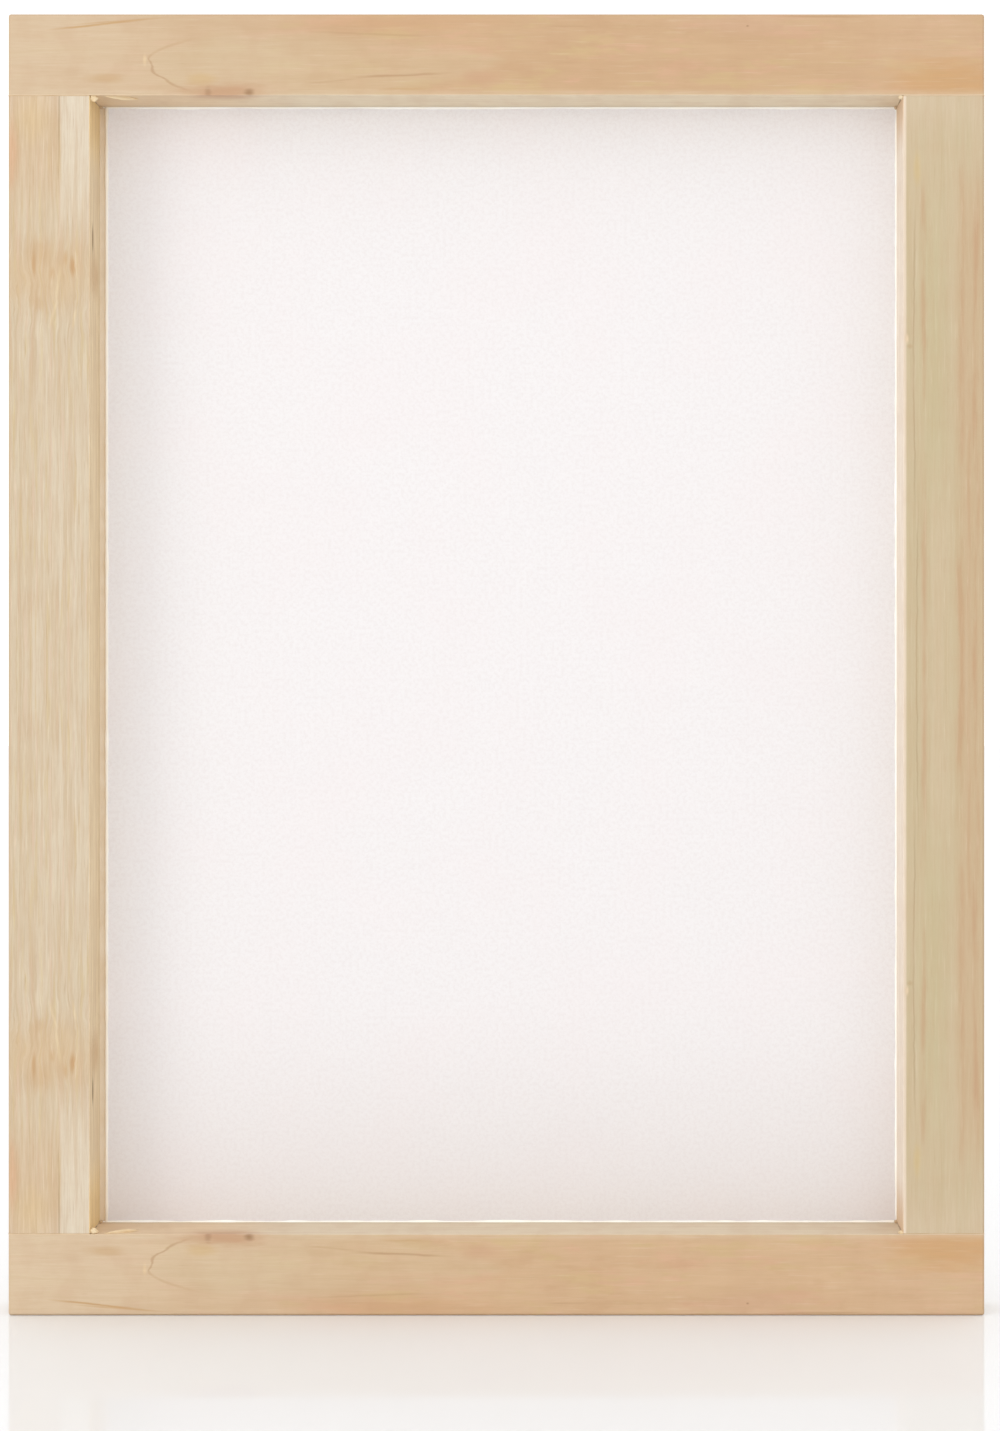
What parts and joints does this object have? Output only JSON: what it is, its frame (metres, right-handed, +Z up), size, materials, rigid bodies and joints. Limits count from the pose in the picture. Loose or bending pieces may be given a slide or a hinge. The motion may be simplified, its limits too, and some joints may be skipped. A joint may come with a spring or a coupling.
{
  "type": "screen printing frame",
  "caption": "Rectangular wooden screen printing frame with bridle-jointed corners and a white woven mesh stretched and bonded across the back.",
  "frame": {"origin": "bottom centre of the bounding box, on the surface the frame stands on", "axes": "+Z up along the stiles, +X along the rails, +Y from the open well towards the mesh"},
  "size_m": [0.3048, 0.02, 0.4064],
  "materials": {
    "rail_wood": "sanded, unfinished, warm tan softwood with flat-sawn grain",
    "stile_wood": "sanded, unfinished, pale softwood with straight grain",
    "mesh_fabric": "fine plain-woven white monofilament, matt",
    "adhesive": "cured clear adhesive soaked into the weave, slightly glossy",
    "brad_steel": "bright drawn steel"
  },
  "bodies": {
    "root": {"top_rail": "rail_wood", "bottom_rail": "rail_wood", "left_stile": "stile_wood", "right_stile": "stile_wood", "screen_mesh": "mesh_fabric", "adhesive_top": "adhesive", "adhesive_bottom": "adhesive", "adhesive_left": "adhesive", "adhesive_right": "adhesive", "top_left_brad_outer": "brad_steel", "top_left_brad_inner": "brad_steel", "top_right_brad_outer": "brad_steel", "top_right_brad_inner": "brad_steel", "bottom_left_brad_outer": "brad_steel", "bottom_left_brad_inner": "brad_steel", "bottom_right_brad_outer": "brad_steel", "bottom_right_brad_inner": "brad_steel"}
  },
  "joints": []
}
